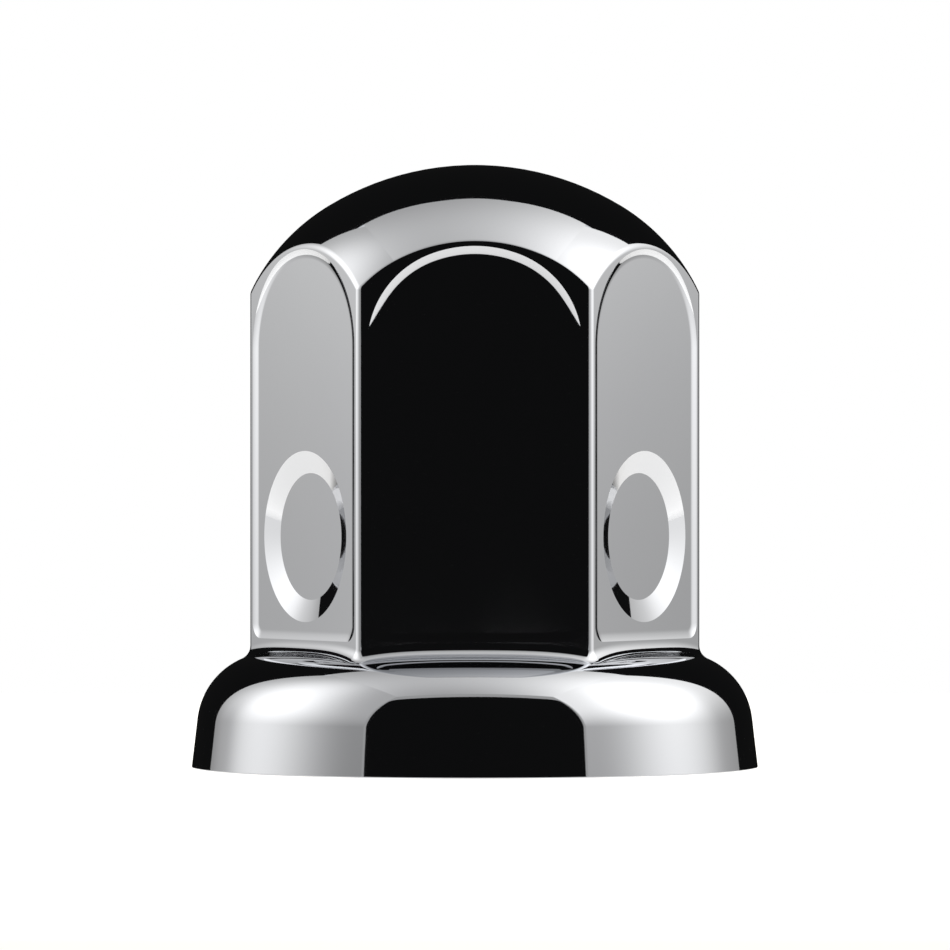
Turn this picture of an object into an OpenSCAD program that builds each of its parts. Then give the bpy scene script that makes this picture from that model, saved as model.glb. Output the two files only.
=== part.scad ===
// Push-on wheel nut cover cap, pressed in one piece from thin sheet and chrome plated.
// A hexagonal shell with a domed end stands on a round flared flange and is open underneath.
// Origin: centre of the rim that rests on the wheel. Z is up, along the nut's axis.
// A plain flat faces -Y, and two opposite corners lie on X.

/* [Nut and fit] */
// Across flats of the nut that the cap covers
nut_af = 33; // [32:0.5:33.5]
// Air between the nut and the inside of a plain flat
nut_clear = 0.5; // [0.3:0.05:0.8]
// How far a grip dimple presses past the flat of the nut
grip_press = 0.07; // [0:0.01:0.15]

/* [Sheet] */
// Thickness of the sheet
wall = 0.5; // [0.4:0.05:0.6]
// Height of the cap from the rim to the top of the dome
height = 54.4; // [50:0.2:60]
// Outside radius of the hexagon's upright corners
corner_r = 0.95; // [0.95:0.05:1.5]

/* [Dome] */
// Radius of the crown in the middle of the dome
crown_r = 25.5; // [25:0.5:30]
// Tighter radius of the dome out towards the corners
haunch_r = 18.3; // [17.8:0.1:20]
// Angle from the axis at which the crown passes into the haunch
crown_angle = 31.4; // [30:0.2:36]
// Radius over the edge between the dome and the flats
brow_r = 0.9; // [0.7:0.05:0.9]

/* [Flange] */
// How far the rim stands out past the hexagon's sharp corners
flange_reach = 5.14; // [4.4:0.02:6.5]
// Height of the flange's shoulder
flange_h = 10.35; // [9:0.05:12]
// Radius of the shoulder
shoulder_r = 6.7; // [5.5:0.1:7.5]
// Lean of the skirt below the shoulder
skirt_lean = 6.7; // [3:0.1:9]
// Radius of the cove between the flats and the shoulder
cove_r = 1.3; // [1:0.05:1.8]

/* [Panels] */
// Depth of the shallow panel pressed into each flat
panel_depth = 0.2; // [0.1:0.01:0.3]
// Width of the panel's curved edge
panel_edge = 1; // [0.7:0.05:1.2]
// Land between the panel's side and the hexagon's sharp corner
panel_side_land = 0.77; // [0.7:0.01:1]
// Land between the panel's top and the dome
panel_top_land = 0.37; // [0.35:0.01:1.5]
// Land between the panel's foot and the cove
panel_foot_land = 0.05; // [0.05:0.05:1]
// Radius of the arch over the panel
arch_r = 10.35; // [10:0.05:12]
// Tighter radius where the arch runs into the panel's sides
arch_side_r = 8.1; // [6:0.1:8.3]
// Radius of the panel's lower corners
panel_corner_r = 1.4; // [1.3:0.05:2]

/* [Grip dimples] */
// Diameter of a dimple's outer edge
dimple_d = 15.3; // [14:0.1:16]
// Diameter of the flat disc in a dimple
dimple_disc_d = 11.25; // [10:0.05:12]
// Height of the dimples' centres above the rim
dimple_z = 20.9; // [20.5:0.1:26]

/* [Hidden] */
$fn = 96;
FLATS = 6;
TURN = 360 / FLATS;
// Steps in which round outlines are drawn
CORNER_STEPS = 4;
CROWN_STEPS = 8;
HAUNCH_STEPS = 14;
SHOULDER_STEPS = 16;
COVE_STEPS = 5;
BROW_STEPS = 4;
EDGE_STEPS = 3;
ARCH_STEPS = 10;
ARCH_SIDE_STEPS = 6;
PANEL_CORNER_STEPS = 3;
// Steps along a flat of the rounds at its foot and its top
COVE_STATIONS = 6;
BROW_STATIONS = 16;
// Share of one step by which a panel's curved edge runs on out of the flat
EDGE_OVERRUN = 0.5;
// Depth by which forms that meet run into each other
bite = 0.03;
// Length past the form that a cutting shape reaches
past = 1;

// Middle of a flat and sharp corner, from the axis, and half the flat's width between sharp corners
flat_r = nut_af / 2 + nut_clear + wall + panel_depth;
corner_reach = flat_r / cos(TURN / 2);
half_side = flat_r * tan(TURN / 2);
// Axis of a corner's round, and half the flat's width between two rounds
round_x = corner_reach - corner_r / cos(TURN / 2);
half_flat = half_side - corner_r * tan(TURN / 2);

// Centres of the dome's two radii, in the (r, z) plane
crown_z = height - crown_r;
haunch_x = (crown_r - haunch_r) * sin(crown_angle);
haunch_z = crown_z + (crown_r - haunch_r) * cos(crown_angle);

// Rim and the centre of the shoulder's radius, in the (r, z) plane
rim_r = corner_reach + flange_reach;
shoulder_z = flange_h - shoulder_r;
shoulder_x = rim_r - shoulder_z * tan(skirt_lean) - shoulder_r / cos(skirt_lean);

// Panel outline, seen square to a flat
panel_half = half_side - panel_side_land;
panel_top = haunch_z + sqrt(haunch_r ^ 2 - (flat_r - haunch_x) ^ 2) - panel_top_land;
panel_foot = ball_z(flat_r + cove_r) + panel_foot_land;
arch_z = panel_top - arch_r;
arch_side_x = panel_half - arch_side_r;
arch_turn = asin(arch_side_x / (arch_r - arch_side_r));
arch_side_z = arch_z + (arch_r - arch_side_r) * cos(arch_turn);
// Direction from the arch's centre in which its side ends and its top begins
arch_start = 90 - arch_turn;
panel_corner_x = panel_half - panel_corner_r;
panel_corner_z = panel_foot + panel_corner_r;
// Radius of the panel's curved edge, which runs smoothly into the panel
panel_edge_r = panel_edge / sin(2 * atan(panel_depth / panel_edge));

dimple_depth = nut_clear + grip_press;
dimple_flare = (dimple_d - dimple_disc_d) / 2 / dimple_depth;

// Point at a radius and an angle
function polar(r, a) = r * [cos(a), sin(a)];

// Points of an arc, both ends included
function arc(centre, r, start, end, steps) =
    [for (i = [0:steps]) centre + polar(r, start + (end - start) * i / steps)];

// Triangles that join each of "loops" outlines of "count" points to the next, and the last to the
// first if "closed"
function loop_faces(loops, count, closed) = [
    for (k = [0:loops - (closed ? 1 : 2)], i = [0:count - 1])
        let (
            j = (i + 1) % count,
            a = k * count,
            b = (k + 1) % loops * count
        )
        each [[a + i, b + i, b + j], [a + i, b + j, a + j]]
];

// Closed ring through outlines that stand one after another round the axis
module ring(outlines) {
    polyhedron(
        points = [for (outline = outlines) each outline],
        faces = loop_faces(len(outlines), len(outlines[0]), true)
    );
}

// Places round the hexagon, each as a point at the given distance outside its walls and the way
// that the wall faces there
function walk_round(out, stations) = [
    for (i = [0:FLATS - 1])
        each concat(
            [
                for (k = [0:CORNER_STEPS])
                    let (a = (i - 0.5 + k / CORNER_STEPS) * TURN)
                    [polar(round_x, i * TURN) + polar(corner_r + out, a), a]
            ],
            [
                for (k = [1:stations - 1])
                    let (
                        a = (i + 0.5) * TURN,
                        t = half_flat * (2 * k / stations - 1)
                    )
                    [polar(flat_r + out, a) + polar(t, a + 90), a]
            ]
        )
];

// Hexagon with round corners, inset from the outside by the given amount
module hexagon(inset) {
    polygon([
        for (i = [0:FLATS - 1])
            let (a = i * TURN)
            each arc(polar(round_x, a), corner_r - inset, a - TURN / 2, a + TURN / 2, CORNER_STEPS)
    ]);
}

// Half profile of the dome, with all that lies below it
module dome_profile(inset) {
    haunch = arc([haunch_x, haunch_z], haunch_r - inset, 0, 90 - crown_angle, HAUNCH_STEPS);
    crown = arc([0, crown_z], crown_r - inset, 90 - crown_angle, 90, CROWN_STEPS);
    polygon([
        [0, 0],
        [haunch[0][0], 0],
        each haunch,
        for (i = [1:CROWN_STEPS - 1]) crown[i],
        [0, height - inset]
    ]);
}

// Half profile of the shoulder and the leaning skirt, from the height base upwards
module flange_profile(inset, base) {
    round_top = arc([shoulder_x, shoulder_z], shoulder_r - inset, skirt_lean, 90, SHOULDER_STEPS);
    skirt_top = round_top[0];
    polygon([
        [0, base],
        [skirt_top[0] + (skirt_top[1] - base) * tan(skirt_lean), base],
        each round_top,
        [0, flange_h - inset]
    ]);
}

// Height of a ball that rests on the shoulder and rolls along the hexagon, at radius r from the axis
function ball_z(r) = shoulder_z + sqrt((shoulder_r + cove_r) ^ 2 - (r - shoulder_x) ^ 2);

// Section of the metal under the cove at one place of the ball, as points in space
function cove_section(place, inset) =
    let (
        centre = place[0],
        out = polar(1, place[1]),
        r = norm(centre),
        z = ball_z(r),
        lean = atan((r - shoulder_x) * (centre * out) / r / (z - shoulder_z)),
        round_r = cove_r + inset,
        round = [
            for (k = [0:COVE_STEPS])
                polar(
                    round_r + (k == 0 ? bite / 2 : k == COVE_STEPS ? bite : 0),
                    180 + (90 - lean) * k / COVE_STEPS
                )
        ],
        low = round[COVE_STEPS] - [0, past],
        root = -round_r - (corner_r - inset) / 2
    )
    [
        for (p = concat(round, [low, [root, low[1]], [root, 0]]))
            [centre[0] + p[0] * out[0], centre[1] + p[0] * out[1], z + p[1]]
    ];

// Cove between the hexagon and the shoulder
module cove(inset) {
    ring([for (place = walk_round(cove_r, COVE_STATIONS)) cove_section(place, inset)]);
}

// Height of a ball that rolls under the dome along the inside of the hexagon, at radius r
function brow_z(r) = haunch_z + sqrt((haunch_r - brow_r) ^ 2 - (r - haunch_x) ^ 2);

// Unit vector that lies between two others, at a share of the angle from one to the other
function between(one, other, share) =
    let (angle = acos(one * other))
    (sin((1 - share) * angle) * one + sin(share * angle) * other) / sin(angle);

// Section of the space over the rounded edge at one place of the ball, as points in space
function brow_section(place, inset) =
    let (
        r = norm(place[0]),
        z = brow_z(r),
        wall_out = [cos(place[1]), sin(place[1]), 0],
        across = (r - haunch_x) / (haunch_r - brow_r) / r,
        dome_out = [across * place[0][0], across * place[0][1], (z - haunch_z) / (haunch_r - brow_r)],
        round = [
            for (k = [0:BROW_STEPS])
                (brow_r - inset + (k % BROW_STEPS == 0 ? bite : 0))
                    * between(wall_out, dome_out, k / BROW_STEPS)
        ],
        far = brow_r + past
    )
    [
        for (p = concat(round, [far * dome_out, far * (dome_out + wall_out), far * wall_out]))
            [place[0][0], place[0][1], z] + p
    ];

// Space over the rounded edge between the flats and the dome
module brow_space(inset) {
    ring([for (place = walk_round(-brow_r, BROW_STATIONS)) brow_section(place, inset)]);
}

// Outline of a panel, inset from its outer edge by the given amount
function panel_outline(inset) =
    let (
        corner = arc([panel_corner_x, panel_corner_z], panel_corner_r - inset, -90, 0, PANEL_CORNER_STEPS),
        side = arc([arch_side_x, arch_side_z], arch_side_r - inset, 0, arch_start, ARCH_SIDE_STEPS),
        top = arc([0, arch_z], arch_r - inset, arch_start, arch_start + 2 * arch_turn, ARCH_STEPS),
        right = concat(corner, side)
    )
    concat(
        right,
        [for (i = [1:ARCH_STEPS - 1]) top[i]],
        [for (i = [len(right) - 1:-1:0]) [-right[i][0], right[i][1]]]
    );

// Height of a panel's curved edge above the surface of the flat, at the given inset
function edge_height(inset) =
    inset < 0
        ? -edge_height(-inset)
        : panel_edge_r - panel_depth - sqrt(panel_edge_r ^ 2 - (panel_edge - inset) ^ 2);

// Space of a panel, drawn flat with Z out of the surface
module panel() {
    insets = [for (k = [0:EDGE_STEPS]) panel_edge * (1 - k / (EDGE_STEPS - EDGE_OVERRUN))];
    count = len(panel_outline(0));
    polyhedron(
        points = [
            for (inset = insets)
                for (p = panel_outline(inset))
                    [p[0], p[1], edge_height(inset)]
        ],
        faces = concat(
            [[for (i = [0:count - 1]) i]],
            loop_faces(len(insets), count, false),
            [[for (i = [count - 1:-1:0]) EDGE_STEPS * count + i]]
        )
    );
}

// Space of a grip dimple, drawn flat with Z out of the surface
module dimple() {
    depth = panel_depth + dimple_depth;
    translate([0, dimple_z, -depth])
        cylinder(h = depth, d1 = dimple_disc_d, d2 = dimple_disc_d + 2 * depth * dimple_flare);
}

// Turns a shape that is drawn flat to stand on the flat with number i
module on_flat(i, inset) {
    rotate((i + 0.5) * TURN)
        translate([flat_r - inset, 0, 0])
            rotate([90, 0, 90])
                children();
}

// The cap as a solid, inset from its outside by the given amount
module cap_form(inset, base) {
    difference() {
        difference() {
            intersection() {
                translate([0, 0, shoulder_z])
                    linear_extrude(height)
                        hexagon(inset);
                rotate_extrude()
                    dome_profile(inset);
            }
            brow_space(inset);
            for (i = [0:FLATS - 1])
                on_flat(i, inset)
                    panel();
        }
        for (i = [1:2:FLATS - 1])
            on_flat(i, inset)
                dimple();
    }
    rotate_extrude()
        flange_profile(inset, base);
    cove(inset);
}

module nut_cover() {
    color("silver")
        difference() {
            cap_form(0, 0);
            cap_form(wall, -past);
        }
}

nut_cover();
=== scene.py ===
import math

import bpy
import numpy as np
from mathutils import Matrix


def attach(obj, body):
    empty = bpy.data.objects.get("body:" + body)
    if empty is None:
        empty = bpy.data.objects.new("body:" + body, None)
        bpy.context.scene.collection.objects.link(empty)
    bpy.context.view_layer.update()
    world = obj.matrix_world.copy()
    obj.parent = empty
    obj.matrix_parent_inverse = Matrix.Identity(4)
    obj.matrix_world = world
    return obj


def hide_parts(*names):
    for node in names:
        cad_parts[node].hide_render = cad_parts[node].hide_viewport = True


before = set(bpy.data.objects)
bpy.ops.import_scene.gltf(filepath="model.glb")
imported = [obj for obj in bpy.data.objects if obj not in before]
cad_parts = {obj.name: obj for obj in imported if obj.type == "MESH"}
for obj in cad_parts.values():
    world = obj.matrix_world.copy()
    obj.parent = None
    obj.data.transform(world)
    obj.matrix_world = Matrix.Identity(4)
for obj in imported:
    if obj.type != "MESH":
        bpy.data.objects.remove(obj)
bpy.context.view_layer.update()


# Hexagon. The cap is drawn from one round blank of thin steel sheet over a hexagonal punch, so
# every surface of it, from the rim to the dome, follows the same walk round six flats and six
# narrow round corners. Sizes are in millimetres until the mesh is made.

MM = 0.001
UP = np.array([0.0, 0.0, 1.0])
FLATS = 6
TURN = math.tau / FLATS
FLAT_R = 17.7
CORNER_R = 0.95
CORNER_X = FLAT_R / math.cos(TURN / 2) - CORNER_R / math.cos(TURN / 2)
HALF_SIDE = FLAT_R * math.tan(TURN / 2)
HALF_FLAT = HALF_SIDE - CORNER_R * math.tan(TURN / 2)
WALL = 0.5
CORNER_STEPS = 12
FLAT_STEPS = 44


def facing(turn):
    """Level unit vectors: the cosine and the sine of each angle, and no height."""
    return np.stack([np.cos(turn), np.sin(turn), np.zeros_like(turn)], axis=-1)


def walk_round_hexagon():
    """Points of the outside in plan and the angles that the wall faces there. On a corner the
    point is the corner's own axis plus its radius along the facing angle. On a flat it is the
    flat's middle plus a share of half its width, square to the facing angle. The last point
    repeats the first."""
    side = np.arange(FLATS)[:, None]
    corner_turn = (side + np.linspace(-0.5, 0.5, CORNER_STEPS + 1)) * TURN
    corner = CORNER_X * facing(side * TURN) + CORNER_R * facing(corner_turn)
    flat_turn = np.repeat((side + 0.5) * TURN, FLAT_STEPS - 1, axis=1)
    across = HALF_FLAT * np.linspace(-1, 1, FLAT_STEPS + 1)[1:-1, None]
    flat = FLAT_R * facing(flat_turn) + across * facing(flat_turn + math.pi / 2)
    points = np.concatenate([corner, flat], axis=1).reshape(-1, 3)
    turns = np.concatenate([corner_turn, flat_turn], axis=1).ravel()
    return np.vstack([points, points[:1]]), np.append(turns, turns[0])


walk, walk_turn = walk_round_hexagon()
walk_out = facing(walk_turn)


def arc_between(start, end, steps):
    """Unit vectors along the great arc from start to end: the two are weighted by the sines of
    the angles still to go and already gone, over the sine of the whole angle."""
    whole = np.arccos(np.sum(start * end, axis=-1, keepdims=True))
    share = np.linspace(0, 1, steps + 1)[:, None, None]
    return (np.sin((1 - share) * whole) * start + np.sin(share * whole) * end) / np.sin(whole)


# Flange. The foot of the cap is a round collar with a soft shoulder and a skirt that leans out
# a little to the rim, which rests on the wheel. A cove blends the hexagon into the shoulder as
# if a ball had been rolled along the corner between them.

FLANGE_REACH = 5.14
FLANGE_H = 10.35
SHOULDER_R = 6.7
SKIRT_LEAN = math.radians(6.7)
COVE_R = 1.3
RIM_ROUND = 0.1
RIM_STEPS = 4
SKIRT_ROWS, SHOULDER_ROWS, COVE_ROWS = 2, 9, 3
RIM_R = FLAT_R / math.cos(TURN / 2) + FLANGE_REACH
SHOULDER_Z = FLANGE_H - SHOULDER_R
SHOULDER_X = RIM_R - SHOULDER_Z * math.tan(SKIRT_LEAN) - SHOULDER_R / math.cos(SKIRT_LEAN)


def cove_ball_z(radius):
    """Height of the ball's centre where it touches the shoulder, by Pythagoras from the centre
    of the shoulder's radius."""
    return SHOULDER_Z + np.sqrt((SHOULDER_R + COVE_R) ** 2 - (radius - SHOULDER_X) ** 2)


cove_centre = walk + COVE_R * walk_out
cove_radius = np.linalg.norm(cove_centre, axis=-1, keepdims=True)
cove_centre = cove_centre + cove_ball_z(cove_radius) * UP
flange_turn = np.arctan2(cove_centre[:, 1], cove_centre[:, 0])
flange_out = facing(flange_turn)
cove_lean = np.arctan2(cove_centre[:, 2] - SHOULDER_Z, cove_radius[:, 0] - SHOULDER_X)


def revolved(radius, height, lean, out):
    """Surface turned round the axis: radius along the level direction, height up, and a normal
    that leans up from that direction by the given angle."""
    points = radius[..., None] * out + height[..., None] * UP
    normals = np.cos(lean)[..., None] * out + np.sin(lean)[..., None] * UP
    return points, normals


def rim(steps):
    """Cut edge of the sheet: two small quarter rounds about centres in the sheet, one next to
    the inside and one next to the outside, with the flat foot between them."""
    slant = math.cos(SKIRT_LEAN)
    outer_x = RIM_R - RIM_ROUND * math.tan(SKIRT_LEAN) - RIM_ROUND / slant
    inner_x = outer_x - (WALL - 2 * RIM_ROUND) / slant
    lean = np.concatenate(
        [
            np.linspace(-math.pi + SKIRT_LEAN, -math.pi / 2, steps + 1),
            np.linspace(-math.pi / 2, SKIRT_LEAN, steps + 1),
        ]
    )[:, None]
    centre = np.repeat([inner_x, outer_x], steps + 1)[:, None]
    radius = centre + RIM_ROUND * np.cos(lean)
    height = RIM_ROUND + RIM_ROUND * np.sin(lean)
    wide = np.ones_like(flange_turn)
    return revolved(radius * wide, height * wide, lean * wide, flange_out)


def skirt(steps, foot):
    """Straight skirt from the height foot to the shoulder: the radius falls by the tangent of
    the lean as the height grows."""
    top = SHOULDER_Z + SHOULDER_R * math.sin(SKIRT_LEAN)
    height = np.linspace(foot, top, steps + 1)[:, None] * np.ones_like(flange_turn)
    radius = RIM_R - height * math.tan(SKIRT_LEAN)
    return revolved(radius, height, np.full_like(height, SKIRT_LEAN), flange_out)


def shoulder(steps):
    """Round shoulder: an arc about the shoulder's centre, from the lean of the skirt to the
    place where the cove's ball touches it."""
    lean = np.linspace(np.full_like(cove_lean, SKIRT_LEAN), cove_lean, steps + 1)
    radius = SHOULDER_X + SHOULDER_R * np.cos(lean)
    height = SHOULDER_Z + SHOULDER_R * np.sin(lean)
    return revolved(radius, height, lean, flange_out)


def cove(steps):
    """Underside of the rolled ball, from its touch on the shoulder to its touch on the wall:
    the centre less the ball's radius along each direction between the two normals."""
    touch = np.cos(cove_lean)[:, None] * flange_out + np.sin(cove_lean)[:, None] * UP
    normals = arc_between(touch, walk_out, steps)
    return cove_centre - COVE_R * normals, normals


# Dome. The closed end is a flat crown in the middle that runs into a tighter haunch, and its
# meeting with the walls is rounded over all the way round, as if a ball had rolled inside.

HEIGHT = 54.4
CROWN_R = 25.5
HAUNCH_R = 18.3
CROWN_ANGLE = math.radians(31.4)
BROW_R = 0.9
BROW_ROWS, HAUNCH_ROWS, CROWN_ROWS = 3, 9, 4
CROWN_Z = HEIGHT - CROWN_R
HAUNCH_X = (CROWN_R - HAUNCH_R) * math.sin(CROWN_ANGLE)
HAUNCH_Z = CROWN_Z + (CROWN_R - HAUNCH_R) * math.cos(CROWN_ANGLE)


def brow_ball_z(radius):
    """Height of the centre of the ball that rolls inside the dome, by Pythagoras from the
    centre of the haunch."""
    return HAUNCH_Z + np.sqrt((HAUNCH_R - BROW_R) ** 2 - (radius - HAUNCH_X) ** 2)


brow_centre = walk - BROW_R * walk_out
brow_radius = np.linalg.norm(brow_centre, axis=-1, keepdims=True)
brow_centre = brow_centre + brow_ball_z(brow_radius) * UP
dome_out = facing(np.arctan2(brow_centre[:, 1], brow_centre[:, 0]))
brow_lean = np.arctan2(brow_centre[:, 2] - HAUNCH_Z, brow_radius[:, 0] - HAUNCH_X)


def brow(steps):
    """Rounded meeting of wall and dome: the ball's centre plus its radius along each direction
    between the wall's normal and the dome's."""
    touch = np.cos(brow_lean)[:, None] * dome_out + np.sin(brow_lean)[:, None] * UP
    normals = arc_between(walk_out, touch, steps)
    return brow_centre + BROW_R * normals, normals


def haunch(steps):
    """Tighter part of the dome: an arc about the haunch's centre, from the brow to the crown."""
    top = np.full_like(brow_lean, math.pi / 2 - CROWN_ANGLE)
    lean = np.linspace(brow_lean, top, steps + 1)
    return revolved(
        HAUNCH_X + HAUNCH_R * np.cos(lean), HAUNCH_Z + HAUNCH_R * np.sin(lean), lean, dome_out
    )


def crown(steps):
    """Middle of the dome: an arc about a centre on the axis, up to the pole."""
    lean = np.linspace(math.pi / 2 - CROWN_ANGLE, math.pi / 2, steps + 1)[:, None]
    lean = lean * np.ones_like(brow_lean)
    radius = CROWN_R * np.cos(lean)
    radius[-1] = 0
    return revolved(radius, CROWN_Z + CROWN_R * np.sin(lean), lean, dome_out)


# Walls. Each flat has a shallow panel with an arched top and a softly curved edge, and in every
# other flat the panel has a round grip dimple, a flat disc inside a cone, that holds the nut.

PANEL_EDGE = 0.86
EDGE_FOOT = 0.31
EDGE_SLOPE = math.radians(22.6)
FOOT_SLOPE = math.radians(11.5)
SIDE_LAND, TOP_LAND, FOOT_LAND = 0.77, 0.37, 0.05
PANEL_HALF = HALF_SIDE - SIDE_LAND
PANEL_TOP = HAUNCH_Z + math.sqrt(HAUNCH_R**2 - (FLAT_R - HAUNCH_X) ** 2) - TOP_LAND
PANEL_FOOT = cove_ball_z(FLAT_R + COVE_R) + FOOT_LAND
ARCH_R = 11.0
ARCH_SIDE_R = 8.6
PANEL_CORNER_R = 1.4
DIMPLE_R = 7.63
DISC_R = 5.66
DIMPLE_Z = 20.9
DIMPLE_DEPTH = 0.6
WALL_STEPS = 52
EDGE_ROWS = 6


def panel_edge(left):
    """Height over the panel's floor, and slope, where the given distance is left to go to it:
    an arc that ends level with the floor and a wider one outside it, tangent to it. On each
    the sine of the slope grows by the distance over the radius."""
    foot_r = EDGE_FOOT / math.sin(FOOT_SLOPE)
    upper_r = (PANEL_EDGE - EDGE_FOOT) / (math.sin(EDGE_SLOPE) - math.sin(FOOT_SLOPE))
    foot = np.minimum(left, EDGE_FOOT)
    foot_slope = np.arcsin(foot / foot_r)
    slope = np.arcsin(foot / foot_r + (left - foot) / upper_r)
    height = foot_r * (1 - np.cos(foot_slope)) + upper_r * (np.cos(foot_slope) - np.cos(slope))
    return height, slope


PANEL_DEPTH = float(panel_edge(PANEL_EDGE)[0])


def corner_wall(side, steps):
    """Upright round corner: the walk's points over one corner, raised from the cove's touch to
    the brow's in even steps."""
    first = side * (CORNER_STEPS + FLAT_STEPS)
    part = slice(first, first + CORNER_STEPS + 1)
    height = np.linspace(cove_centre[part, 2], brow_centre[part, 2], steps + 1)
    points = walk[part] + height[..., None] * UP
    return points, np.broadcast_to(walk_out[part], points.shape)


def evenly(line, share_of_turn, steps):
    """Resamples a line of (x, z, angle) rows so that its steps are even in length plus a share
    of the angle turned."""
    gone = np.linalg.norm(np.diff(line[:, :2], axis=0), axis=1)
    gone = np.append(0, np.cumsum(gone + share_of_turn * np.abs(np.diff(line[:, 2]))))
    at = np.linspace(0, gone[-1], steps + 1)
    return np.stack([np.interp(at, gone, line[:, k]) for k in range(3)], axis=1)


def panel_outline():
    """Outer edge of a panel, seen square to the flat, as (x, z, facing angle) rows from the
    lower left corner round to it again: a straight foot, round corners, straight sides, a
    tight arc on each side and a wider one over the top, all tangent. The right half is drawn
    and mirrored. Its two match angles are where it passes the border's corners."""
    fine = 400
    turn_share = 3.0
    half_foot = FLAT_STEPS // 2
    match_low, match_high = -math.pi / 4, math.radians(38)
    side_x = PANEL_HALF - ARCH_SIDE_R
    side_turn = math.asin(side_x / (ARCH_R - ARCH_SIDE_R))
    side_z = PANEL_TOP - ARCH_R + (ARCH_R - ARCH_SIDE_R) * math.cos(side_turn)
    corner = (PANEL_HALF - PANEL_CORNER_R, PANEL_FOOT + PANEL_CORNER_R)

    def arc(centre, radius, start, end):
        angle = np.linspace(start, end, fine)
        x, z = centre[0] + radius * np.cos(angle), centre[1] + radius * np.sin(angle)
        return np.stack([x, z, angle], axis=1)

    low = arc(corner, PANEL_CORNER_R, -math.pi / 2, match_low)
    low = np.vstack([[0, PANEL_FOOT, -math.pi / 2], low])
    middle = np.vstack(
        [
            arc(corner, PANEL_CORNER_R, match_low, 0),
            arc((side_x, side_z), ARCH_SIDE_R, 0, match_high),
        ]
    )
    high = np.vstack(
        [
            arc((side_x, side_z), ARCH_SIDE_R, match_high, math.pi / 2 - side_turn),
            arc((0, PANEL_TOP - ARCH_R), ARCH_R, math.pi / 2 - side_turn, math.pi / 2)[1:],
        ]
    )
    low = evenly(low, turn_share, half_foot)
    middle = evenly(middle, turn_share, WALL_STEPS)
    high = evenly(high, turn_share, half_foot)
    right = np.vstack([low, middle[1:], high[1:]])
    left = right[::-1] * [-1, 1, -1] + [0, 0, math.pi]
    line = np.vstack([left[-half_foot - 1 : -1], right, left[1 : -half_foot]])
    line[:half_foot, 2] -= math.tau
    return line


def wall_border():
    """Border of a flat in the same order as the panel's outline: the cove's touch, one upright
    edge, the brow's touch and the other upright edge, as (x, z) rows."""
    across = HALF_FLAT * np.linspace(-1, 1, FLAT_STEPS + 1)
    foot = cove_ball_z(np.hypot(FLAT_R + COVE_R, across))
    top = brow_ball_z(np.hypot(FLAT_R - BROW_R, across))
    up = np.linspace(foot[0], top[0], WALL_STEPS + 1)
    side = np.full(WALL_STEPS + 1, HALF_FLAT)
    x = np.concatenate([across[:-1], side[:-1], across[:0:-1], -side])
    z = np.concatenate([foot[:-1], up[:-1], top[:0:-1], up[::-1]])
    return np.stack([x, z], axis=1)


def rings_between(outer, inner, steps):
    """Rings of (x, z) points that pass from one line to another in even shares."""
    return np.linspace(outer, inner, steps + 1)


def on_flat(side, ring, height, slope, away):
    """Places rings on a flat: x across it, z up, height out of it. The normal leans from the
    flat's own towards the ring's inside by the slope angle."""
    turn = (side + 0.5) * TURN
    out, along = facing(np.array(turn)), facing(np.array(turn + math.pi / 2))
    height = np.broadcast_to(height, ring.shape[:-1])[..., None]
    slope = np.broadcast_to(slope, ring.shape[:-1])[..., None]
    points = ring[..., :1] * along + ring[..., 1:] * UP + (FLAT_R + height) * out
    outwards = np.cos(away)[..., None] * along + np.sin(away)[..., None] * UP
    return points, np.cos(slope) * out - np.sin(slope) * outwards


def flat_wall(side, detail):
    """Patches of one flat from its border inwards: the land, the panel's edge, the floor, and a
    cone and a disc, which stay level with the floor where the flat has no dimple."""
    outline = panel_outline()
    line, away = outline[:, :2], outline[:, 2]
    inward = -np.stack([np.cos(away), np.sin(away)], axis=1)
    left = PANEL_EDGE * np.linspace(1, 0, EDGE_ROWS * detail + 1)[:, None]
    edge = line + (PANEL_EDGE - left)[..., None] * inward
    edge_height, edge_slope = panel_edge(left)
    centre = np.array([0, DIMPLE_Z])
    around = np.arctan2(edge[-1, :, 1] - DIMPLE_Z, edge[-1, :, 0])
    around[-1] = around[0]
    spoke = np.stack([np.cos(around), np.sin(around)], axis=1)
    depth = DIMPLE_DEPTH if side % 2 else 0.0
    cone_height = -PANEL_DEPTH - depth * np.linspace(0, 1, detail + 1)[:, None]
    cone_slope = math.atan2(depth, DIMPLE_R - DISC_R)
    cone = rings_between(centre + DIMPLE_R * spoke, centre + DISC_R * spoke, detail)
    floor = rings_between(edge[-1], cone[0], detail)
    disc = rings_between(cone[-1], centre + 0 * spoke, detail)
    return [
        on_flat(side, rings_between(wall_border(), line, 1), 0.0, 0.0, away),
        on_flat(side, edge, edge_height - PANEL_DEPTH, edge_slope, away),
        on_flat(side, floor, -PANEL_DEPTH, 0.0, away),
        on_flat(side, cone, cone_height, cone_slope, around),
        on_flat(side, disc, -PANEL_DEPTH - depth, 0.0, away),
    ]


# The whole skin. The outside and the inside of the sheet are the same patches, the inside one
# sheet thickness deeper, and the rim's cut edge joins them into one closed shell. Detail counts
# how often each patch's own rows are split.

SHOWN_DETAIL = 3
HIDDEN_DETAIL = 1
GRAIN = 1e-4
OFF_GRID = 0.37


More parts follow.
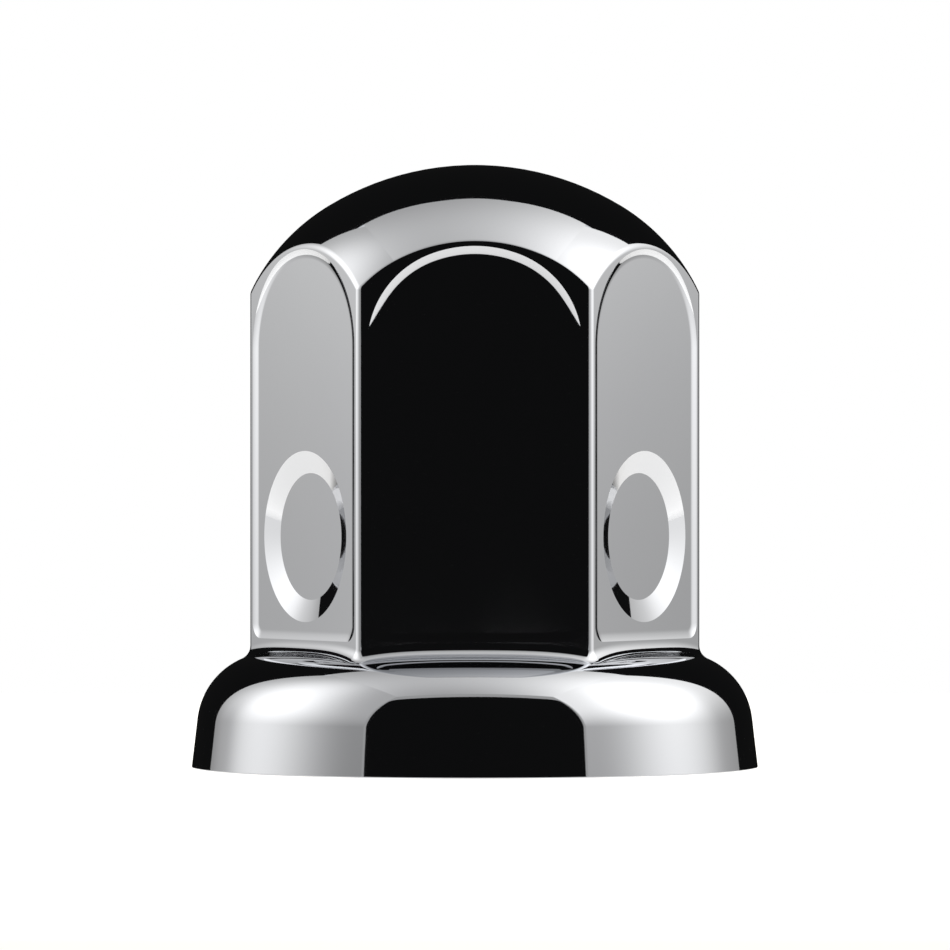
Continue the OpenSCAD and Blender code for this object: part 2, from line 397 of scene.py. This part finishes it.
def outside(detail):
    """Patches that face out and the direction in which the sheet's thickness lies under each."""
    foot = RIM_ROUND * (1 + math.sin(SKIRT_LEAN))
    around = [
        skirt(SKIRT_ROWS * detail, foot),
        shoulder(SHOULDER_ROWS * detail),
        cove(COVE_ROWS * detail),
        brow(BROW_ROWS * detail),
        haunch(HAUNCH_ROWS * detail),
        crown(CROWN_ROWS * detail),
    ]
    around += [corner_wall(side, WALL_STEPS) for side in range(FLATS)]
    patches = [(points, normals, normals) for points, normals in around]
    for side in range(FLATS):
        out = facing(np.array((side + 0.5) * TURN))
        patches += [(points, normals, out) for points, normals in flat_wall(side, detail)]
    return patches


def inside(detail):
    """The outside's patches moved in by the sheet's thickness, with their normals turned. The
    skirt starts where the inner round of the rim ends."""
    foot = RIM_ROUND * (1 - math.sin(SKIRT_LEAN)) + WALL * math.sin(SKIRT_LEAN)
    points, normals = skirt(SKIRT_ROWS * detail, foot)
    patches = [(points, normals, normals)] + outside(detail)[1:]
    return [(points - WALL * under, -normals) for points, normals, under in patches]


def triangles(shape, first):
    """Two triangles for each square of a grid of points numbered from first."""
    number = first + np.arange(shape[0] * shape[1]).reshape(shape[:2])
    a, b = number[:-1, :-1], number[:-1, 1:]
    c, d = number[1:, 1:], number[1:, :-1]
    return np.concatenate(
        [np.stack([a, b, c], axis=-1).reshape(-1, 3), np.stack([a, c, d], axis=-1).reshape(-1, 3)]
    )


def weld(name, skins):
    """Makes one mesh of grids of points and normals: points that round to the same grain are
    one, triangles that have shrunk to a line are left out, and each triangle keeps the normals
    of its own patch, so that pressed edges stay crisp and all else is smooth. The rounding is
    set off by part of a grain, because round lengths would fall between two grains."""
    points, normals, faces, finish = [], [], [], []
    first = 0
    for slot, turned, patches in skins:
        for patch_points, patch_normals in patches:
            made = triangles(patch_points.shape, first)
            faces.append(made[:, ::-1] if turned else made)
            finish.append(np.full(len(made), slot))
            points.append(patch_points.reshape(-1, 3))
            normals.append(patch_normals.reshape(-1, 3))
            first += len(points[-1])
    points, normals = np.concatenate(points), np.concatenate(normals)
    faces, finish = np.concatenate(faces), np.concatenate(finish)
    key = np.round(points / GRAIN + OFF_GRID).astype(np.int64)
    _, chosen, place = np.unique(key, axis=0, return_index=True, return_inverse=True)
    welded = place.reshape(-1)[faces]
    a, b, c = welded.T
    whole = (a != b) & (b != c) & (c != a)
    mesh = bpy.data.meshes.new(name)
    mesh.from_pydata(points[chosen] * MM, [], welded[whole])
    mesh.polygons.foreach_set("use_smooth", np.ones(len(mesh.polygons), bool))
    mesh.polygons.foreach_set("material_index", finish[whole].astype(np.int32))
    mesh.normals_split_custom_set(normals[faces[whole]].reshape(-1, 3))
    mesh.update()
    return mesh


mesh = weld(
    "nut_cover_shell",
    [
        (0, False, [rim(RIM_STEPS)] + [(p, n) for p, n, _ in outside(SHOWN_DETAIL)]),
        (1, True, inside(HIDDEN_DETAIL)),
    ],
)
shell = bpy.data.objects.new("nut_cover_shell", mesh)
bpy.context.scene.collection.objects.link(shell)


# Chrome plate. Bright nickel-chrome plate over polished steel outside, and thin dull plate
# inside, where the current hardly reached and the marks of the drawing still show.

BRIGHT_PLATE = (0.542, 0.557, 0.594, 1), (0.558, 0.573, 0.606, 1)
DULL_PLATE = (0.4, 0.405, 0.42, 1), (0.52, 0.525, 0.535, 1)
BRIGHT_ROUGHNESS = 0.02, 0.042
DULL_ROUGHNESS = 0.28, 0.44
RIPPLE_DEPTH = 0.0000006
STREAK_DEPTH = 0.00002
NOISE_DETAIL = 3
NOISE_LOW, NOISE_HIGH = 0.3, 0.7


def clouds(nodes, links, stretch, scale, low=0.0, high=1.0):
    """Cloudy pattern on the object's own coordinates, as a number from low to high: noise, with
    the middle part of its range spread over the whole."""
    place = nodes.new("ShaderNodeMapping")
    place.inputs["Scale"].default_value = stretch
    links.new(nodes.new("ShaderNodeTexCoord").outputs["Object"], place.inputs["Vector"])
    noise = nodes.new("ShaderNodeTexNoise")
    noise.inputs["Scale"].default_value = scale
    noise.inputs["Detail"].default_value = NOISE_DETAIL
    links.new(place.outputs["Vector"], noise.inputs["Vector"])
    spread = nodes.new("ShaderNodeMapRange")
    spread.inputs["From Min"].default_value = NOISE_LOW
    spread.inputs["From Max"].default_value = NOISE_HIGH
    spread.inputs["To Min"].default_value = low
    spread.inputs["To Max"].default_value = high
    links.new(noise.outputs["Fac"], spread.inputs["Value"])
    return spread.outputs["Result"]


def tint(nodes, links, share, one, other):
    """Colour between two by a share from 0 to 1."""
    mix = nodes.new("ShaderNodeMix")
    mix.data_type = "RGBA"
    links.new(share, mix.inputs["Factor"])
    mix.inputs["A"].default_value = one
    mix.inputs["B"].default_value = other
    return mix.outputs["Result"]


def relief(nodes, links, height, depth):
    """Bump of the given depth in metres from a height of 0 to 1."""
    bump = nodes.new("ShaderNodeBump")
    bump.inputs["Distance"].default_value = depth
    links.new(height, bump.inputs["Height"])
    return bump.outputs["Normal"]


def chrome_outside():
    """Mirror plate with a slight drift of colour, thin clouds of polishing haze and a ripple
    of under a thousandth of a millimetre, as level as polished plate has."""
    material = bpy.data.materials.new("bright_chrome")
    material.use_nodes = True
    nodes, links = material.node_tree.nodes, material.node_tree.links
    plate = nodes["Principled BSDF"]
    plate.inputs["Metallic"].default_value = 1
    drift = clouds(nodes, links, (1, 1, 1), 45)
    links.new(tint(nodes, links, drift, *BRIGHT_PLATE), plate.inputs["Base Color"])
    haze = clouds(nodes, links, (1, 1, 0.4), 160, *BRIGHT_ROUGHNESS)
    links.new(haze, plate.inputs["Roughness"])
    ripple = clouds(nodes, links, (1, 1, 1), 260)
    links.new(relief(nodes, links, ripple, RIPPLE_DEPTH), plate.inputs["Normal"])
    return material


def chrome_inside():
    """Dull plate over the drawn sheet: streaks along the draw in colour, roughness and
    height."""
    material = bpy.data.materials.new("dull_chrome")
    material.use_nodes = True
    nodes, links = material.node_tree.nodes, material.node_tree.links
    plate = nodes["Principled BSDF"]
    plate.inputs["Metallic"].default_value = 1
    stain = clouds(nodes, links, (1, 1, 0.5), 130)
    links.new(tint(nodes, links, stain, *DULL_PLATE), plate.inputs["Base Color"])
    smears = clouds(nodes, links, (1, 1, 0.1), 700, *DULL_ROUGHNESS)
    links.new(smears, plate.inputs["Roughness"])
    streaks = clouds(nodes, links, (1, 1, 0.06), 1400)
    links.new(relief(nodes, links, streaks, STREAK_DEPTH), plate.inputs["Normal"])
    return material


mesh.materials.append(chrome_outside())
mesh.materials.append(chrome_inside())
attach(shell, "root")
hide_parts("nut_cover")


# Camera. A long lens looks level at the cap from the front, square to the plain flat, and sees
# what the photograph's frame holds. The unit is the metre from here on.

PIXELS_PER_RADIAN = 7079
PHOTO_WIDTH = 950
SENSOR = 36.0
CAMERA_AT = (0.000015, -0.64, 0.026386)
NEAREST_SEEN = 0.01

lens = bpy.data.cameras.new("photo_camera")
lens.sensor_width = SENSOR
lens.lens = SENSOR * PIXELS_PER_RADIAN / PHOTO_WIDTH
lens.clip_start = NEAREST_SEEN
camera = bpy.data.objects.new("photo_camera", lens)
camera.location = CAMERA_AT
camera.rotation_euler = (math.pi / 2, 0, 0)
bpy.context.scene.collection.objects.link(camera)
bpy.context.scene.camera = camera
bpy.context.scene.view_settings.view_transform = "Standard"


# Light box. The cap stands in an open-ended box: two cloth side walls and a cloth roof, each
# lit from outside by a lamp that makes a soft glow on it, and a black card across each end. The
# box is out of the camera's sight, so the background is the white world.

BOX_HALF = 0.235
BOX_FRONT = -0.235
BOX_BACK = 0.212
BOX_TOP = 0.455
ROOF_OVERHANG = 0.02
CLOTH_TINT = (1.023, 1.005, 0.967, 1)
CLOTH_LIGHT = 0.514
ROOF_GLOW = 0.361
ROOF_GLOW_Y, ROOF_SPREAD = -0.01, 0.159
ROOF_SLANT, ROOF_RISE = 0.439, 0.52
# Painted shade: a soft dark patch on each side cloth's glow, low down behind the cap.
SHADE_PATCH_AT = (0.122, 0.027)
SHADE_PATCH_SPREAD = (0.025, 0.07)
ENDLESS = 9
CARD_LIGHT = 0.007
CARD_OFF_WALL = 0.001
CARD_EDGE = [(0.226, 0.004), (0.226, 0.34), (0.222, 0.356), (0.212, 0.366), (0.196, 0.37)]
BACK_CARD_TOP = 0.421
FRONT_WALL_FOOT = 0.045


def flat_sheet(name, corners, material):
    """One flat sheet of the studio, which isn't part of the cap."""
    sheet = bpy.data.meshes.new(name)
    sheet.from_pydata(corners, [], [range(len(corners))])
    sheet.materials.append(material)
    made = bpy.data.objects.new(name, sheet)
    bpy.context.scene.collection.objects.link(made)
    return made


def level_sheet(name, front, back, height, material):
    """Sheet as wide as the box, which lies level at one height."""
    near = [(-BOX_HALF, front, height), (BOX_HALF, front, height)]
    far = [(BOX_HALF, back, height), (-BOX_HALF, back, height)]
    return flat_sheet(name, near + far, material)


def side_wall(name, x, material):
    """Upright sheet along one side of the box."""
    low = [(x, BOX_FRONT, 0), (x, BOX_BACK, 0)]
    high = [(x, BOX_BACK, BOX_TOP), (x, BOX_FRONT, BOX_TOP)]
    return flat_sheet(name, low + high, material)


def end_sheet(name, y, edge, material):
    """Upright sheet across the box. Its right edge is given as (x, z) rows from the foot up,
    and its left edge is the mirror of that."""
    right = [(x, y, z) for x, z in edge]
    left = [(-x, y, z) for x, z in reversed(edge)]
    return flat_sheet(name, right + left, material)


def light_material(name, colour, strength):
    """Material that only gives off light. Its strength's socket comes with it."""
    material = bpy.data.materials.new(name)
    material.use_nodes = True
    nodes, links = material.node_tree.nodes, material.node_tree.links
    nodes.remove(nodes["Principled BSDF"])
    light = nodes.new("ShaderNodeEmission")
    light.inputs["Color"].default_value = colour
    light.inputs["Strength"].default_value = strength
    links.new(light.outputs["Emission"], nodes["Material Output"].inputs["Surface"])
    return material, light.inputs["Strength"]


def reckon(nodes, links, kind, a, b=0.0):
    """Result of one Math node of the given kind on two sockets or numbers."""
    node = nodes.new("ShaderNodeMath")
    node.operation = kind
    for socket, value in zip(node.inputs, (a, b)):
        if isinstance(value, float):
            socket.default_value = value
        else:
            links.new(value, socket)
    return node.outputs[0]


def bell(nodes, links, point, centre, spread):
    """Bell curve about a centre: e to minus half of the squared distance, which is counted in
    the spread of each direction."""
    away = nodes.new("ShaderNodeVectorMath")
    away.operation = "SUBTRACT"
    links.new(point, away.inputs[0])
    away.inputs[1].default_value = centre
    share = nodes.new("ShaderNodeVectorMath")
    share.operation = "DIVIDE"
    links.new(away.outputs[0], share.inputs[0])
    share.inputs[1].default_value = spread
    square = nodes.new("ShaderNodeVectorMath")
    square.operation = "DOT_PRODUCT"
    links.new(share.outputs[0], square.inputs[0])
    links.new(share.outputs[0], square.inputs[1])
    half = reckon(nodes, links, "MULTIPLY", square.outputs["Value"], -0.5)
    return reckon(nodes, links, "EXPONENT", half)


def shaded(nodes, links, light, shadow, depth):
    """The light times one less the shadow, where a shadow of 1 takes away the given depth."""
    kept = reckon(nodes, links, "MULTIPLY", shadow, -depth)
    kept = reckon(nodes, links, "ADD", kept, 1.0)
    return reckon(nodes, links, "MULTIPLY", light, kept)


def side_cloth(name, base, glow, glow_y, spread, foot_shade, foot_height, patch_shade):
    """Cloth of a side wall: a base and a bell-shaped glow about a middle at the foot. Two bell
    curves shade it, one that fades with the height above the floor and one that paints a soft
    dark patch of shade on the cloth, low down behind the cap."""
    material, strength = light_material(name, CLOTH_TINT, 1)
    nodes, links = material.node_tree.nodes, material.node_tree.links
    point = nodes.new("ShaderNodeTexCoord").outputs["Object"]
    light = bell(nodes, links, point, (0, glow_y, 0), (ENDLESS, *spread))
    light = reckon(nodes, links, "MULTIPLY", light, glow)
    light = reckon(nodes, links, "ADD", light, base)
    foot = bell(nodes, links, point, (0, 0, 0), (ENDLESS, ENDLESS, foot_height))
    light = shaded(nodes, links, light, foot, foot_shade)
    # Painted shade patch on the cloth's glow.
    shade_patch = bell(nodes, links, point, (0, *SHADE_PATCH_AT), (ENDLESS, *SHADE_PATCH_SPREAD))
    links.new(shaded(nodes, links, light, shade_patch, patch_shade), strength)
    return material


def roof_cloth():
    """Cloth of the roof: a base and a glow across the middle, times one plus a line and a
    square of the way from the middle to the right wall, because the right lamp is stronger."""
    material, strength = light_material("roof_cloth", CLOTH_TINT, 1)
    nodes, links = material.node_tree.nodes, material.node_tree.links
    point = nodes.new("ShaderNodeTexCoord").outputs["Object"]
    split = nodes.new("ShaderNodeSeparateXYZ")
    links.new(point, split.inputs[0])
    light = bell(nodes, links, point, (0, ROOF_GLOW_Y, 0), (ENDLESS, ROOF_SPREAD, ENDLESS))
    light = reckon(nodes, links, "MULTIPLY", light, ROOF_GLOW)
    light = reckon(nodes, links, "ADD", light, CLOTH_LIGHT)
    across = reckon(nodes, links, "DIVIDE", split.outputs["X"], BOX_HALF)
    rise = reckon(nodes, links, "MULTIPLY", across, ROOF_RISE)
    rise = reckon(nodes, links, "ADD", rise, ROOF_SLANT)
    rise = reckon(nodes, links, "MULTIPLY", rise, across)
    rise = reckon(nodes, links, "ADD", rise, 1.0)
    links.new(reckon(nodes, links, "MULTIPLY", light, rise), strength)
    return material


left_cloth = side_cloth(
    "left_cloth",
    base=0.63,
    glow=1.93,
    glow_y=0.024,
    spread=(0.086, 0.235),
    foot_shade=0.5,
    foot_height=0.0622,
    patch_shade=0.18,
)
right_cloth = side_cloth(
    "right_cloth",
    base=1.366,
    glow=2.715,
    glow_y=-0.008,
    spread=(0.0785, 0.216),
    foot_shade=0.68,
    foot_height=0.087,
    patch_shade=0.08,
)
front_cloth, _ = light_material("front_cloth", CLOTH_TINT, CLOTH_LIGHT)
black_card, _ = light_material("black_card", (1, 1, 1, 1), CARD_LIGHT)
front_edge = [(BOX_HALF, FRONT_WALL_FOOT), (BOX_HALF, BOX_TOP)]
back_edge = [(BOX_HALF, 0), (BOX_HALF, BACK_CARD_TOP)]
light_box = [
    side_wall("left_wall", -BOX_HALF, left_cloth),
    side_wall("right_wall", BOX_HALF, right_cloth),
    level_sheet("roof", BOX_FRONT, BOX_BACK + ROOF_OVERHANG, BOX_TOP, roof_cloth()),
    end_sheet("front_wall", BOX_FRONT, front_edge, front_cloth),
    end_sheet("front_card", BOX_FRONT + CARD_OFF_WALL, CARD_EDGE, black_card),
    end_sheet("back_card", BOX_BACK, back_edge, black_card),
]
for sheet in light_box:
    sheet.visible_camera = False


# Floor. A pale satin board under the cap and the box, which runs out in front of it. It is lit by
# the cloths, and it shows white to the camera. In the chrome it shows white with a painted glow
# that grows towards the side walls and painted shade towards the back.

FLOOR_FRONT = -0.32
FLOOR_MATT = (0.65, 0.64, 0.62, 1)
FLOOR_IN_VIEW = 0.96
FLOOR_IN_CHROME = 0.8
# Painted glow of the floor towards the side walls and painted shade towards the back, which only
# the chrome sees.
FLOOR_PAINTED_GLOW_TO_WALLS = 0.45
FLOOR_PAINTED_SHADE_TO_BACK = 0.45
GLANCE_FROM, GLANCE_TO = 0.86, 0.93
SATIN_ROUGHNESS = 0.05


def floor_painted_light_in_chrome(nodes, links):
    """Painted light of the floor in the chrome: a painted glow that rises with the square of the
    way across to the side walls, and painted shade that deepens with the square of the way to the
    back."""
    split = nodes.new("ShaderNodeSeparateXYZ")
    links.new(nodes.new("ShaderNodeTexCoord").outputs["Object"], split.inputs[0])
    across = reckon(nodes, links, "DIVIDE", split.outputs["X"], BOX_HALF)
    across = reckon(nodes, links, "MULTIPLY", across, across)
    across = reckon(nodes, links, "MULTIPLY", across, FLOOR_PAINTED_GLOW_TO_WALLS)
    back = reckon(nodes, links, "MAXIMUM", split.outputs["Y"], 0.0)
    back = reckon(nodes, links, "DIVIDE", back, BOX_BACK)
    back = reckon(nodes, links, "MULTIPLY", back, back)
    back = reckon(nodes, links, "MULTIPLY", back, -FLOOR_PAINTED_SHADE_TO_BACK)
    white = reckon(nodes, links, "ADD", across, back)
    return reckon(nodes, links, "ADD", white, FLOOR_IN_CHROME)


def either(nodes, links, share, one, other):
    """Shader that passes from one to another by a share from 0 to 1."""
    mix = nodes.new("ShaderNodeMixShader")
    links.new(share, mix.inputs["Fac"])
    links.new(one, mix.inputs[1])
    links.new(other, mix.inputs[2])
    return mix.outputs["Shader"]


def pale_floor():
    """Satin white, which keeps the cap's soft shadow, with white added for the camera, and for
    the chrome white with a painted glow towards the side walls and painted shade towards the
    back. Where the chrome sees it nearly edge on, it mirrors what stands behind it, and the
    camera sees through it from below."""
    material, strength = light_material("pale_floor", CLOTH_TINT, 1)
    nodes, links = material.node_tree.nodes, material.node_tree.links
    path = nodes.new("ShaderNodeLightPath").outputs
    in_chrome = reckon(nodes, links, "ADD", path["Is Glossy Ray"], path["Is Transmission Ray"])
    white = floor_painted_light_in_chrome(nodes, links)
    # The chrome sees the floor's white with its painted glow and painted shade.
    in_chrome = reckon(nodes, links, "MULTIPLY", in_chrome, white)
    in_view = reckon(nodes, links, "MULTIPLY", path["Is Camera Ray"], FLOOR_IN_VIEW)
    links.new(reckon(nodes, links, "ADD", in_chrome, in_view), strength)
    matt = nodes.new("ShaderNodeBsdfDiffuse")
    matt.inputs["Color"].default_value = FLOOR_MATT
    both = nodes.new("ShaderNodeAddShader")
    links.new(matt.outputs["BSDF"], both.inputs[0])
    links.new(strength.node.outputs["Emission"], both.inputs[1])
    edge_on = nodes.new("ShaderNodeMapRange")
    edge_on.inputs["From Min"].default_value = GLANCE_FROM
    edge_on.inputs["From Max"].default_value = GLANCE_TO
    links.new(nodes.new("ShaderNodeLayerWeight").outputs["Facing"], edge_on.inputs["Value"])
    glance = reckon(nodes, links, "MULTIPLY", edge_on.outputs[0], path["Is Glossy Ray"])
    mirror = nodes.new("ShaderNodeBsdfGlossy")
    mirror.inputs["Roughness"].default_value = SATIN_ROUGHNESS
    satin = either(nodes, links, glance, both.outputs["Shader"], mirror.outputs["BSDF"])
    under = nodes.new("ShaderNodeNewGeometry").outputs["Backfacing"]
    below = reckon(nodes, links, "MULTIPLY", under, path["Is Camera Ray"])
    clear = nodes.new("ShaderNodeBsdfTransparent").outputs["BSDF"]
    surface = either(nodes, links, below, satin, clear)
    links.new(surface, nodes["Material Output"].inputs["Surface"])
    return material


level_sheet("floor", FLOOR_FRONT, BOX_BACK, 0, pale_floor())


# World. White paper all round, which the camera and the chrome see, and which lights nothing
# else.

world = bpy.data.worlds.new("studio")
bpy.context.scene.world = world
world.use_nodes = True
nodes, links = world.node_tree.nodes, world.node_tree.links
path = nodes.new("ShaderNodeLightPath").outputs
seen = reckon(nodes, links, "ADD", path["Is Camera Ray"], path["Is Glossy Ray"])
seen = reckon(nodes, links, "ADD", seen, path["Is Transmission Ray"])
nodes["Background"].inputs["Color"].default_value = (1, 1, 1, 1)
links.new(seen, nodes["Background"].inputs["Strength"])
